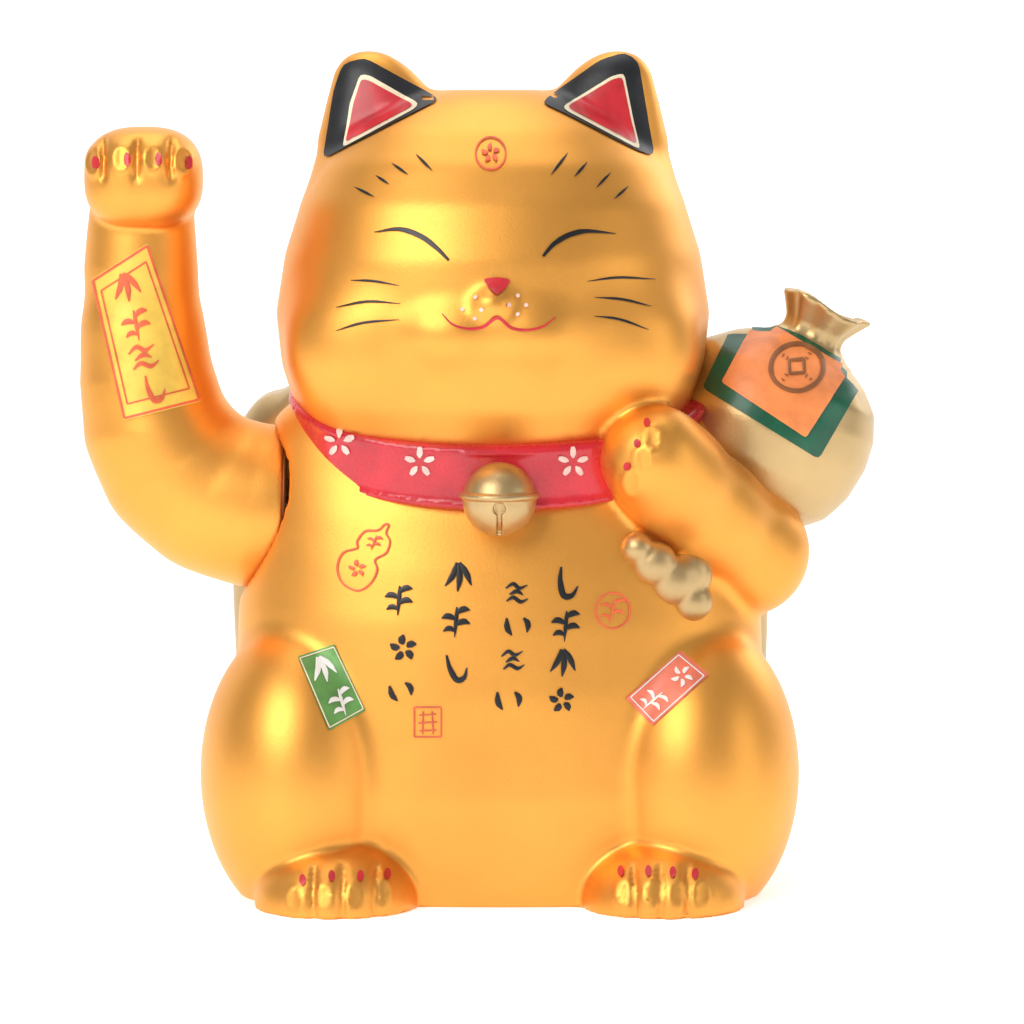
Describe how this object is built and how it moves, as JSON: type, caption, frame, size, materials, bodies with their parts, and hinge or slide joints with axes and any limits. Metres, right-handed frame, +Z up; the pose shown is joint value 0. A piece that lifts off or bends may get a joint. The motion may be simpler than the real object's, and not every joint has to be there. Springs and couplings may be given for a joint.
{
  "type": "beckoning cat figurine",
  "caption": "Seated cat figurine with a swinging raised arm on a pendulum drive, a collar with bell, a money bag and a sack behind.",
  "frame": {"origin": "flat underside of the base, midway between the flanks, on the plane where front and rear shells meet", "axes": "+Z up, -Y the way the cat faces, -X the side of the swinging arm"},
  "size_m": [0.2311, 0.142, 0.24],
  "materials": {
    "gold_shell": "satin gold metallic coat over moulded plastic",
    "gold_trim": "satin gold metallic coat",
    "red_enamel": "gloss enamel",
    "bag_cloth": "satin champagne coat",
    "green_label": "gloss enamel",
    "black_plastic": "fine moulded texture",
    "grey_plastic": "moulded",
    "white_plastic": "moulded",
    "steel": "zinc plated",
    "nickel_plate": "nickel plated",
    "brass": "turned",
    "enamelled_wire": "enamelled copper, wound",
    "soft_iron": "bare",
    "weight_metal": "zinc plated",
    "magnet_metal": "nickel plated",
    "board_laminate": "phenolic laminate",
    "component_black": "moulded epoxy",
    "component_sleeve": "shrunk sleeve",
    "cell_sleeve": "plain printed sleeve, no marks",
    "wire_red": "insulated wire",
    "wire_black": "insulated wire",
    "wire_yellow": "insulated wire"
  },
  "bodies": {
    "figure": {"front_shell": "gold_shell", "rear_shell": "gold_shell", "collar_band": "red_enamel", "collar_bell": "gold_trim", "money_bag": "bag_cloth", "bag_label": "green_label", "cloth_end": "bag_cloth", "back_sack": "bag_cloth", "base_plate": "black_plastic", "switch_body": "black_plastic", "base_screws": "steel", "frame_screws": "steel", "board_screws": "steel", "contact_spring": "nickel_plate", "contact_plate": "nickel_plate", "contact_bridge": "nickel_plate", "bearing_frame": "white_plastic", "coil_bobbin": "white_plastic", "bush_outer": "brass", "bush_inner": "brass", "coil_winding": "enamelled_wire", "coil_core": "soft_iron", "circuit_board": "board_laminate", "transistor": "component_black", "capacitor": "component_sleeve", "battery_cell_1": "cell_sleeve", "battery_cell_2": "cell_sleeve", "lead_red": "wire_red", "lead_black": "wire_black", "lead_switch": "wire_red", "lead_coil": "wire_yellow"},
    "arm": {"arm_front_shell": "gold_shell", "arm_rear_shell": "gold_shell", "arm_hub": "white_plastic", "arm_axle": "steel", "axle_clips": "steel", "pendulum_lever": "white_plastic", "swing_magnet": "magnet_metal", "counterweight": "weight_metal", "weight_screw": "steel"},
    "knob": {"switch_knob": "grey_plastic"},
    "door": {"battery_door": "black_plastic"}
  },
  "joints": [
    {"name": "arm_swing", "type": "hinge", "parent": "figure", "child": "arm", "pos_m": [-0.0618, 0, 0.1085], "axis": [1, 0, 0], "range_deg": [-18, 18]},
    {"name": "switch_slide", "type": "slide", "parent": "figure", "child": "knob", "axis": [0, 1, 0], "range_m": [0, 0.004]},
    {"name": "door_hinge", "type": "hinge", "parent": "figure", "child": "door", "pos_m": [0.0301, -0.0185, 0.0019], "axis": [-1, 0, 0], "range_deg": [0, 85]}
  ]
}
